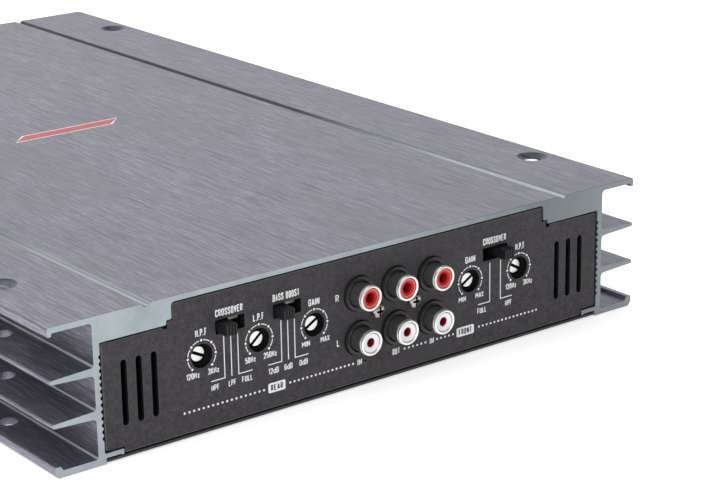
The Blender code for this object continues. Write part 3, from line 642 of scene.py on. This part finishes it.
def soften_face(shape, outer, inward, radius_at):
    """Round every edge of the flat face at Y = outer: slice the walls behind it, then draw
    each slice into the sheet by what a quarter round of that radius takes away."""
    for depth in SOFT_SLICES:
        everything = shape.verts[:] + shape.edges[:] + shape.faces[:]
        bmesh.ops.bisect_plane(shape, geom=everything, dist=1e-7, plane_no=(0, 1, 0),
                               plane_co=(0, outer + inward * depth, 0))
    moves = []
    for vert in shape.verts:
        depth = (vert.co.y - outer) * inward
        radius = radius_at(vert.co)
        if depth > radius:
            continue
        walls = []
        for face in vert.link_faces:
            normal = face.normal
            if abs(normal.y) < 0.5 and all(normal.dot(other) < 0.9999 for other in walls):
                walls.append(normal.copy())
        if not walls:
            continue
        reach = radius - math.sqrt(max(radius ** 2 - (radius - max(depth, 0.0)) ** 2, 0.0))
        first, last = walls[0], walls[-1]
        moves.append((vert, (first + last) * (-reach / (1.0 + first.dot(last)))))
    for vert, move in moves:
        vert.co += move
    flat = [face for face in shape.faces if all(abs(vert.co.y - outer) < 1e-7 for vert in face.verts)]
    rim = [edge for face in flat for edge in face.edges
           if sum(other in flat for other in edge.link_faces) == 1]
    bmesh.ops.delete(shape, geom=flat, context="FACES_KEEP_BOUNDARY")
    bmesh.ops.triangle_fill(shape, edges=rim, use_beauty=True, normal=(0, -inward, 0))
    recalculated(shape)


def make_sheets():
    """End panels, with a soft edge all round and a fine one at each opening, and the bottom plate."""
    for node in ("front_panel", "rear_panel"):
        low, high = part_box(node)
        outer, inward = (low.y, 1.0) if node == "front_panel" else (high.y, -1.0)

        def radius_at(place, low=low, high=high):
            at_rim = place.z < low.z + 0.0005 or place.z > high.z - 0.001 or abs(place.x) > 0.088
            return RIM_RADIUS if at_rim else OPENING_RADIUS

        shape = welded_copy(node)
        shape.normal_update()
        soften_face(shape, outer, inward, radius_at)
        # Bevels take the lighter edge finish, a painted highlight; walls of the outline and openings
        # take near-black as painted shade of gaps and holes.
        for face in shape.faces:
            facing = abs(face.normal.y)
            face.material_index = 0 if facing > 0.99 else 1 if facing > 0.55 else 2
        finishes = ["textured", "edge_sheen_and_rub", "well"]
        piece = finish_mesh(node + "_shape", shape, finishes, smooth=1.0)
        settle(piece, stands_for=[node])
    plate = refined("bottom_plate", 0.0002, ["sheet"])
    settle(plate, stands_for=["bottom_plate"])


def make_plate_screws():
    """Flat-head screws that hold the bottom plate up to the ledges."""
    low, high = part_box("bottom_plate")
    radius = 2.6
    below = low.z / MM - 0.16
    profile = [(0.0, 0.0), (radius - 0.15, 0.0), (radius, 0.12), (radius, 0.4), (0.0, 0.4)]
    inset = 0.0035
    margin = 0.025
    rows = 4
    for side, x in (("left", low.x + inset), ("right", high.x - inset)):
        for row in range(rows):
            y = low.y + margin + (high.y - low.y - 2.0 * margin) * row / (rows - 1)
            shape = spun(profile, 32, (x, y, below * MM), "Z")
            piece = finish_mesh(f"plate_screw_{side}_{row + 1}", shape, ["screw"])
            cut_cross(piece, Vector((x, y, below * MM)), Vector((0.0, 0.0, -1.0)), 1.5, 0.34)
            settle(piece)


# ---- Screws ----------------------------------------------------------------------
def bake_modifiers(piece):
    """Make an object's modifiers part of its mesh."""
    bpy.context.view_layer.update()
    evaluated = piece.evaluated_get(bpy.context.evaluated_depsgraph_get())
    mesh = bpy.data.meshes.new_from_object(evaluated)
    piece.modifiers.clear()
    piece.data = mesh
    mesh.shade_smooth()
    mesh.set_sharp_from_angle(angle=math.radians(SHARP))


def cut_away(piece, cutter_shape):
    """Cut a shape out of a piece for good."""
    mesh = bpy.data.meshes.new("cutter")
    for material in piece.data.materials:
        mesh.materials.append(material)
    recalculated(cutter_shape).to_mesh(mesh)
    cutter_shape.free()
    cutter = bpy.data.objects.new("cutter", mesh)
    bpy.context.scene.collection.objects.link(cutter)
    modifier = piece.modifiers.new("Cut", "BOOLEAN")
    modifier.operation = "DIFFERENCE"
    modifier.solver = "EXACT"
    modifier.object = cutter
    bake_modifiers(piece)
    bpy.data.objects.remove(cutter)
    bpy.data.meshes.remove(mesh)


def cut_cross(piece, at, outward, reach, half, depth=0.9):
    """Cross recess in a screw head: a tapering cross, in millimetres, painted dark inside as shade."""
    if len(piece.data.materials) < 2:
        piece.data.materials.append(MATERIALS["recess"])
    turn = outward.to_track_quat("Z", "Y").to_matrix().to_4x4()
    for across, along in ((reach, half), (half, reach)):
        shape = bmesh.new()
        for vert in bmesh.ops.create_cube(shape, size=2.0)["verts"]:
            taper = 1.0 if vert.co.z > 0.0 else 0.45
            level = 0.5 if vert.co.z > 0.0 else -depth
            vert.co = Vector((vert.co.x * across * taper,
                              vert.co.y * along * (0.7 + 0.3 * taper), level))
        bmesh.ops.transform(shape, verts=shape.verts, matrix=Matrix.Diagonal((MM, MM, MM, 1.0)))
        bmesh.ops.transform(shape, verts=shape.verts, matrix=Matrix.Translation(at) @ turn)
        for face in shape.faces:
            face.material_index = 1
        cut_away(piece, shape)


def make_jack_screws():
    """Domed cross-recess screws between the columns of jacks."""
    for number in (1, 2):
        node = f"jack_screw_{number}"
        low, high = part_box(node)
        middle = centre_of(node)
        radius = (high.x - low.x) / 2.0 / MM
        at = Vector((middle.x, low.y, middle.z))
        dome = [(0.0, 0.0)]
        steps = 6
        for step in range(1, steps + 1):
            angle = math.pi / 2.0 * step / steps
            dome.append((radius * math.sin(angle), 1.0 - math.cos(angle)))
        length = (high.y - low.y) / MM
        profile = dome + [(radius, 1.2), (1.25, 1.2), (1.25, length), (0.0, length)]
        piece = finish_mesh(node + "_shape", spun(profile, 40, at), ["screw"])
        cut_cross(piece, at, Vector((0.0, -1.0, 0.0)), 1.6, 0.42, 1.3)
        settle(piece, stands_for=[node])


# ---- Signal jacks ----------------------------------------------------------------
def make_jacks():
    """Plated shell painted dark as a reflection of the panel, a bright rolled rim, and an insulator
    whose socket is painted dark as shade; the red lip is a painted highlight.
    """
    for row, face, rim in (("left", "white", "white"), ("right", "red", "red_lip_highlight")):
        for duty in JACK_DUTIES:
            name = f"{duty}_{row}"
            low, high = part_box(name + "_shell")
            middle = centre_of(name + "_shell")
            at = Vector((middle.x, low.y, middle.z))
            outer = (high.x - low.x) / 2.0 / MM
            length = (high.y - low.y) / MM
            shell = [(JACK_BORE, length, 0), (JACK_BORE, 0.5, 1), (JACK_BORE + 0.05, 0.22, 1),
                     (JACK_BORE + 0.2, 0.05, 1), (JACK_BORE + 0.42, 0.0, 1), (outer - 0.3, 0.03, 1),
                     (outer - 0.1, 0.14, 1), (outer - 0.02, 0.34, 1), (outer - 0.02, 0.52, 1),
                     (outer - 0.14, 0.6, 0), (outer - 0.14, 0.74, 1), (outer, 0.84, 1),
                     (outer, 1.3, 1), (outer - 0.1, 1.42, 0), (outer - 0.12, length, 0)]
            add_piece(name + "_barrel", spun(shell, 72, at), ["barrel", "rim"],
                      stands_for=[name + "_shell"])
            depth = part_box(name + "_insulator")[1].y - low.y
            throat = 1.55 if row == "right" else 1.42
            inner = JACK_BORE - 0.14
            core = [(0.0, depth / MM, 0), (inner, depth / MM, 0), (inner, 0.4, 1),
                    (inner - 0.12, 0.28, 1), (inner - 0.6, 0.4, 0), (throat + 0.4, 0.55, 0),
                    (throat + 0.1, 0.65, 0), (throat, 0.9, 2), (throat - 0.15, 3.4, 2),
                    (0.0, 3.6, 2)]
            add_piece(name + "_core", spun(core, 56, at), [face, rim, "socket"],
                      stands_for=[name + "_insulator"])


def make_jack_block():
    """Moulded block behind the jacks, with a low collar round each shell."""
    block = refined("rca_block", 0.00022, ["black"], segments=3)
    settle(block, stands_for=["rca_block"])
    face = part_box("rca_block")[0].y
    collar = [(4.2, 0.0), (4.2, -0.2), (4.28, -0.28), (4.5, -0.28), (4.62, -0.16), (4.62, 0.0)]
    for row in ("left", "right"):
        for duty in JACK_DUTIES:
            middle = centre_of(f"{duty}_{row}_shell")
            at = Vector((middle.x, face + 0.0001, middle.z))
            add_piece(f"{duty}_{row}_collar", spun(collar, 56, at), ["black"])


# ---- Trimmers and switches -------------------------------------------------------
def make_knobs():
    """Bright turned discs; the floor and sides of each slot are painted near-black as shade."""
    for name in KNOBS:
        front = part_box(name + "_rotor")[0].y

        # Faces below the front of the disc: painted shade.
        def sort(face, front=front):
            return 1 if face.calc_center_median().y > front + 0.00012 else 0

        rotor = refined(name + "_rotor", 0.00006, ["rotor", "well"], sort=sort)
        settle(rotor, name + "_rotor", [name + "_rotor"])


def make_levers():
    """Lever with four ridges down its face and softly rounded corners."""
    for name in SWITCHES:
        low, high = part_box(name + "_lever")
        outline = []
        ridges = 4
        pitch = (high.x - low.x) / ridges
        depth = 0.00045
        for ridge in range(ridges):
            start = low.x + ridge * pitch
            for share, back in ((0.0, 1.0), (0.12, 0.35), (0.26, 0.0), (0.74, 0.0), (0.88, 0.35)):
                outline.append((start + share * pitch, low.y + back * depth))
        outline += [(high.x, low.y + depth), (high.x, high.y), (low.x, high.y)]
        shape = bmesh.new()
        rim = [shape.verts.new((x, y, low.z)) for x, y in outline]
        raise_faces(shape, [shape.faces.new(rim)], (0.0, 0.0, high.z - low.z))
        recalculated(shape)
        edges = [edge for edge in shape.edges
                 if abs(edge.verts[0].co.z - edge.verts[1].co.z) < 1e-7
                 and len(edge.link_faces) == 2 and edge.calc_face_angle(0.0) > 1.0]
        bmesh.ops.bevel(shape, geom=edges, offset=0.00016, segments=2, profile=0.5, affect="EDGES")
        add_piece(name + "_slider", shape, ["lever"],
                  name + "_lever", [name + "_lever"])
        make_contact(name)
        make_shutter(name)


def make_contact(name):
    """Brass contact strip seen in the upper right of the switch's window."""
    middle = centre_of(name + "_housing")
    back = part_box("front_panel")[1].y
    shape = bmesh.new()
    outline = [(0.5, 0.75), (0.8, 0.6), (3.7, 0.6), (3.9, 0.8), (3.9, 1.5), (0.8, 1.5), (0.5, 1.4)]
    placed = [(middle.x / MM + x, middle.z / MM + z) for x, z in outline]
    add_plate(shape, placed, back + 0.0011, 0.0005)
    edges = list(recalculated(shape).edges)
    bmesh.ops.bevel(shape, geom=edges, offset=0.00008, segments=2, profile=0.5, affect="EDGES")
    add_piece(name + "_contact", shape, ["contact"])


def make_shutter(name):
    """Plate that moves with the lever, behind the window, painted near-black as the shade inside the
    window.
    """
    middle = centre_of(name + "_lever")
    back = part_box("front_panel")[1].y
    shape = bmesh.new()
    outline = round_box(middle.x / MM, middle.z / MM, 5.2, 3.9, 0.3)
    add_plate(shape, outline, back + 0.0022, 0.0004)
    add_piece(name + "_shutter", recalculated(shape), ["well"], name + "_lever")


# ---- Printing on the signal end --------------------------------------------------
def scale_arc(shape, x, z, face):
    """Dots round a trimmer with a thin arc between each pair."""
    span = (SCALE_END - SCALE_START) / (SCALE_MARKS - 1)
    for mark in range(SCALE_MARKS):
        start = SCALE_START + span * mark
        angle = math.radians(start)
        spot = disc(x + SCALE_RADIUS * math.cos(angle), z + SCALE_RADIUS * math.sin(angle),
                    DOT_RADIUS)
        add_plate(shape, spot, face, INK)
        if mark == SCALE_MARKS - 1:
            continue
        points = []
        steps = 8
        for step in range(steps + 1):
            angle = math.radians(start - SCALE_GAP + (span + 2.0 * SCALE_GAP) * step / steps)
            points.append((x + SCALE_RADIUS * math.cos(angle), z + SCALE_RADIUS * math.sin(angle)))
        add_strip(shape, points, SCALE_LINE, face)


def dotted(shape, start, end, face):
    """Row of dots from start to end across, at the dotted line's height."""
    count = max(1, round((end - start) / DOT_PITCH))
    for index in range(count + 1):
        add_plate(shape, disc(start + (end - start) * index / count, ROW_Z, DOT_RADIUS, 12), face, INK)


def leaders(shape, x, top, turns, level, face):
    """Lines from a switch's settings down to their labels; an outer one ends in a foot."""
    for offset, foot in turns:
        points = [(x + offset, top), (x + offset, level)]
        if foot:
            points.append((x + offset + foot, level))
        add_strip(shape, points, LEADER_LINE, face)


def knob_labels(shape, node, title, low, high, face, shift=0.0):
    """Scale, title above and the two end values below; each text comes with its width.
    Shift moves the title to the right."""
    middle = centre_of(node)
    x = middle.x / MM
    z = middle.z / MM
    scale_arc(shape, x, z, face)
    add_text(shape, title[0], x + shift, z + TITLE_RISE, title[1], TITLE, face)
    add_text(shape, low[0], x + LOW_NOTE, z - NOTE_DROP, low[1], NOTE, face)
    add_text(shape, high[0], x + HIGH_NOTE, z - NOTE_DROP, high[1], NOTE, face)


def make_front_legend():
    """White printing: a scale and labels at each control, and the dotted line with its boxes."""
    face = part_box("front_panel")[0].y
    shape = bmesh.new()
    highpass = (("H.P.F", 3.9), ("120Hz", 4.5), ("3KHz", 3.9))
    lowpass = (("L.P.F", 3.8), ("50Hz", 3.7), ("250Hz", 4.7))
    gain = (("GAIN", 4.0), ("MIN", 2.9), ("MAX", 3.3))
    for name, texts in (("rear_highpass", highpass), ("rear_lowpass", lowpass), ("rear_gain", gain),
                        ("front_gain", gain)):
        knob_labels(shape, name + "_rotor", *texts, face)
    knob_labels(shape, "front_highpass_rotor", ("H.P.F", 3.7), *highpass[1:], face, shift=0.45)
    titles = {"rear_crossover": ("CROSSOVER", 9.4), "bass_boost": ("BASS BOOST", 9.5),
              "front_crossover": ("CROSSOVER", 9.4)}
    settings = {"rear_crossover": (("HPF", -5.8, 2.7), ("LPF", 0.1, 2.6), ("FULL", 5.3, 3.7)),
                "bass_boost": (("12dB", -5.4, 3.7), ("6dB", -0.1, 2.9), ("0dB", 5.4, 3.0)),
                "front_crossover": (("FULL", -5.4, 3.7), ("HPF", 5.6, 2.7))}
    for name in SWITCHES:
        middle = centre_of(name + "_housing")
        x = middle.x / MM
        z = middle.z / MM
        title, width = titles[name]
        add_text(shape, title, x + SWITCH_TITLE[0], z + SWITCH_TITLE[1], width, TITLE, face)
        turns = [(-2.4, -4.8), (0.0, 0.0), (2.4, 4.8)]
        if name == "front_crossover":
            turns = [(-2.2, -4.8), (2.2, 4.8)]
        leaders(shape, x, z - LEADER_TOP, turns, z - LEADER_FOOT, face)
        for text, offset, wide in settings[name]:
            add_text(shape, text, x + offset, z - SETTING_DROP, wide, NOTE, face)
    left_jack = centre_of("rear_input_left_shell")
    right_jack = centre_of("rear_input_right_shell")
    add_text(shape, "R", left_jack.x / MM - 8.0, right_jack.z / MM + 0.2, 1.2, TITLE, face)
    add_text(shape, "L", left_jack.x / MM - 7.9, left_jack.z / MM + 0.2, 1.0, TITLE, face)
    for node, text, width in (("rear_input_left_shell", "IN", 1.6), ("output_left_shell", "OUT", 2.8),
                              ("front_input_left_shell", "IN", 1.6)):
        add_text(shape, text, centre_of(node).x / MM, ROW_Z, width, ROW_TEXT, face)
    runs = ((-66.5, -39.0), (-29.6, -6.4), (-1.8, -1.8), (7.0, 7.0), (13.4, 21.6), (26.2, 32.6),
            (43.2, 67.2))
    for start, end in runs:
        dotted(shape, start, end, face)
    boxes = (("REAR", -34.4, 6.1, 4.3), ("FRONT", 37.6, 7.0, 5.2))
    for text, x, width, inner in boxes:
        add_plate(shape, round_box(x, ROW_Z, width, 3.0, 0.5), face, INK)
    add_piece("front_legend", recalculated(shape), ["ink"])
    dark = bmesh.new()
    for text, x, width, inner in boxes:
        add_text(dark, text, x, ROW_Z, inner, BOX_TEXT, face - INK)
    add_piece("front_legend_dark", recalculated(dark), ["dark_ink"])


# ---- Top plate -------------------------------------------------------------------
def flat_on_top(shape, outline, thick):
    """Thin plate of an (x, y) outline in millimetres on the top of the extrusion."""
    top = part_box("heatsink")[1].z
    rim = [shape.verts.new((x * MM, y * MM, top - HAIR)) for x, y in outline]
    raise_faces(shape, [shape.faces.new(rim)], (0.0, 0.0, thick + HAIR))


def make_badge():
    """Plain red bar with a pale outline in the middle of the top, and faint lines under it."""
    lean = 6.0
    layers = (("badge_outline", 0.7, "ink", 0.5), ("badge_bar", 0.0, "red_ink", 0.9))
    for name, grow, material, thick in layers:
        half = 19.0 + grow
        tall = 2.6 + grow
        outline = [(-half - lean / 2, -tall), (half - lean / 2, -tall), (half + lean / 2, tall),
                   (-half + lean / 2, tall)]
        shape = bmesh.new()
        flat_on_top(shape, outline, INK * thick)
        add_piece(name, recalculated(shape), [material])
    shape = bmesh.new()
    for index, half in enumerate((20.0, 14.0, 8.0)):
        y = -9.0 - 3.0 * index
        outline = [(-half, y - 0.2), (half, y - 0.2), (half, y + 0.2), (-half, y + 0.2)]
        flat_on_top(shape, outline, INK * 0.5)
    add_piece("etched_lines", recalculated(shape), ["faint_ink"])


# ---- Power end -------------------------------------------------------------------
def speaker_ways():
    """Middle of each way of the speaker block, across the object."""
    low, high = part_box("speaker_block")
    pitch = (high.x - low.x) / SPEAKER_WAYS
    return [low.x + (way + 0.5) * pitch for way in range(SPEAKER_WAYS)]


def make_terminals():
    """Terminal blocks and fuse holder with soft edges, and the clamp screws seated in the blocks."""
    for node in ("speaker_block", "power_block", "fuse_holder"):
        piece = refined(node, 0.00035, ["black"], segments=3)
        settle(piece, stands_for=[node])
    for number in (1, 2, 3):
        node = f"power_screw_{number}"
        piece = refined(node, 0.00012, ["screw"])
        settle(piece, stands_for=[node])
    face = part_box("speaker_block")[1].y
    level = centre_of("power_screw_1").z
    profile = [(0.0, 0.0), (2.0, 0.0), (2.0, 1.3), (1.8, 1.6), (0.0, 1.6)]
    for number, x in enumerate(speaker_ways(), 1):
        at = Vector((x, face - 0.0047, level))
        piece = finish_mesh(f"speaker_screw_{number}", spun(profile, 32, at), ["screw"])
        cut_cross(piece, at + Vector((0.0, 0.0016, 0.0)), Vector((0.0, 1.0, 0.0)), 1.4, 0.32)
        settle(piece)


def make_fuses():
    """Blade fuses: moulded body, tin-plated blades and a test point near each end of the face."""
    for number in (1, 2, 3):
        node = f"fuse_{number}"
        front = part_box(node)[1].y
        blades = front - 0.01395

        def sort(face, blades=blades):
            return 1 if face.calc_center_median().y < blades else 0

        piece = refined(node, 0.0003, ["fuse", "rim"], segments=3, sort=sort)
        settle(piece, node, [node])
        shape = bmesh.new()
        middle = centre_of(node)
        for offset in (-7.0, 7.0):
            outline = round_box(middle.x / MM, middle.z / MM + offset, 2.2, 2.6, 0.5)
            add_plate(shape, outline, front - 0.0004, 0.0002, 1.0)
        add_piece(node + "_test_points", recalculated(shape), ["rim"], node)


def make_lens():
    """Domed red lens of the status light."""
    low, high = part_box("status_lens")
    middle = centre_of("status_lens")
    radius = (high.x - low.x) / 2.0 / MM
    length = (high.y - low.y) / MM
    profile = [(0.0, 0.0), (radius, 0.0), (radius, length - radius)]
    steps = 8
    for step in range(1, steps + 1):
        angle = math.pi / 2.0 * step / steps
        profile.append((radius * math.cos(angle), length - radius + radius * math.sin(angle)))
    profile[-1] = (0.0, length)
    shape = spun(profile, 40, Vector((middle.x, low.y, middle.z)))
    add_piece("status_lens_dome", shape, ["lens"], stands_for=["status_lens"])


def make_rear_legend():
    """White printing over the terminals and fuses; plus and minus signs for the speaker ways."""
    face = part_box("rear_panel")[1].y
    shape = bmesh.new()
    speaker = centre_of("speaker_block").x / MM
    power = centre_of("power_block").x / MM
    fuse = centre_of("fuse_holder").x / MM
    for text, x, z, width in (("SPEAKERS", speaker, 36.0, 9.0), ("POWER INPUT", power, 36.0, 11.5),
                              ("POWER", fuse + 6.0, 36.4, 5.6), ("FUSES", fuse, 5.6, 5.6)):
        add_text(shape, text, x, z, width, TITLE, face, outward=1.0)
    for number, text, width in ((1, "12V", 3.2), (2, "REM", 3.6), (3, "GND", 3.6)):
        x = centre_of(f"power_screw_{number}").x / MM
        add_text(shape, text, x, 32.9, width, NOTE, face, outward=1.0)
    for way, middle in enumerate(speaker_ways()):
        x = middle / MM
        add_strip(shape, [(x - 0.8, 32.9), (x + 0.8, 32.9)], 0.35, face, INK, 1.0)
        if way % 2:
            add_strip(shape, [(x, 32.1), (x, 33.7)], 0.35, face, INK * 1.2, 1.0)
    add_piece("rear_legend", recalculated(shape), ["ink"])


# ---- Parts inside ----------------------------------------------------------------
def paint_inside():
    """Finishes for the CAD parts that are kept as they are."""
    finishes = {"main_board": "board", "rear_control_board": "board", "front_control_board": "board",
                "toroid_transformer": "winding", "left_clamp_bar": "steel", "right_clamp_bar": "steel"}
    for number in range(1, 5):
        finishes[f"capacitor_{number}"] = "sleeve"
    for side in ("left", "right"):
        for number in (1, 2):
            finishes[f"{side}_transistor_{number}"] = "black"
    for name in KNOBS:
        finishes[name + "_body"] = "well"
    for name in SWITCHES:
        finishes[name + "_housing"] = "well"
    for node, finish in finishes.items():
        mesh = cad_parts[node].data
        mesh.materials.clear()
        mesh.materials.append(MATERIALS[finish])


# ---- Studio ----------------------------------------------------------------------
def make_floor():
    """Pale sweep: a flat floor that curves up into a wall far behind."""
    shape = bmesh.new()
    half = 8.0
    bend = 2.0
    radius = 1.2
    steps = 12
    rows = [(-8.0, 0.0), (bend, 0.0)]
    for step in range(1, steps + 1):
        angle = math.pi / 2.0 * step / steps
        rows.append((bend + radius * math.sin(angle), radius - radius * math.cos(angle)))
    rows.append((bend + radius, 3.0))
    lines = [[shape.verts.new((x, y, z)) for x in (-half, half)] for y, z in rows]
    for line, following in zip(lines, lines[1:]):
        shape.faces.new([line[0], line[1], following[1], following[0]])
    paint = Paint("studio_paper", (0.9, 0.9, 0.9), 0.8, 0.0, 0.2)
    paint.tint(paint.noise(40.0), (0.88, 0.88, 0.88), 0.5)
    paint.bump(paint.noise(900.0), 0.00001, 0.2)
    paint.shader.inputs["Emission Color"].default_value = (1.0, 1.0, 1.0, 1.0)
    paint.shader.inputs["Emission Strength"].default_value = 0.55
    floor = finish_mesh("studio_floor", shape, [])
    floor.data.materials.append(paint.material)
    turn = Matrix.Rotation(math.radians(VIEW_AZIMUTH), 4, "Z")
    floor.matrix_world = turn @ Matrix.Translation((0, 0, -0.0002))


def area_light(name, at, aim, size, power):
    """White rectangle of light that the camera does not see."""
    data = bpy.data.lights.new(name, "AREA")
    data.shape = "RECTANGLE"
    data.size, data.size_y = size
    data.energy = power
    lamp = bpy.data.objects.new(name, data)
    lamp.location = at
    lamp.rotation_mode = "QUATERNION"
    lamp.rotation_quaternion = (Vector(aim) - Vector(at)).to_track_quat("-Z", "Y")
    lamp.visible_camera = False
    bpy.context.scene.collection.objects.link(lamp)


def make_lights():
    """Even surroundings, a key light near the left front and a broad one above."""
    world = bpy.data.worlds.new("studio")
    world.use_nodes = True
    background = world.node_tree.nodes["Background"]
    background.inputs["Color"].default_value = (1.0, 1.0, 1.0, 1.0)
    background.inputs["Strength"].default_value = 0.27
    bpy.context.scene.world = world
    area_light("key", (-0.42, -0.48, 0.32), (-0.05, -0.12, 0.02), (0.34, 0.26), 1.65)
    area_light("top", (-0.2, 0.5, 1.4), (0.0, 0.05, 0.04), (1.5, 1.5), 14.0)


def make_camera():
    """Long lens from the left front, a little above the object."""
    data = bpy.data.cameras.new("photo_view")
    data.lens = LENS
    data.sensor_width = 36.0
    data.clip_start = 0.05
    data.clip_end = 20.0
    camera = bpy.data.objects.new("photo_view", data)
    azimuth = math.radians(VIEW_AZIMUTH)
    elevation = math.radians(VIEW_ELEVATION)
    back = Vector((math.sin(azimuth) * math.cos(elevation), -math.cos(azimuth) * math.cos(elevation),
                   math.sin(elevation)))
    camera.location = CAMERA_AT
    camera.rotation_mode = "QUATERNION"
    roll = Quaternion((0.0, 0.0, 1.0), math.radians(VIEW_ROLL))
    camera.rotation_quaternion = (-back).to_track_quat("-Z", "Y") @ roll
    bpy.context.scene.collection.objects.link(camera)
    bpy.context.scene.camera = camera
    bpy.context.scene.view_settings.view_transform = "Standard"


def main():
    """Build everything round the frame."""
    make_camera()
    make_lights()
    make_floor()
    make_heatsink()
    make_sheets()
    make_plate_screws()
    make_jack_block()
    make_jacks()
    make_jack_screws()
    make_knobs()
    make_levers()
    make_front_legend()
    make_badge()
    make_terminals()
    make_fuses()
    make_lens()
    make_rear_legend()
    paint_inside()


main()
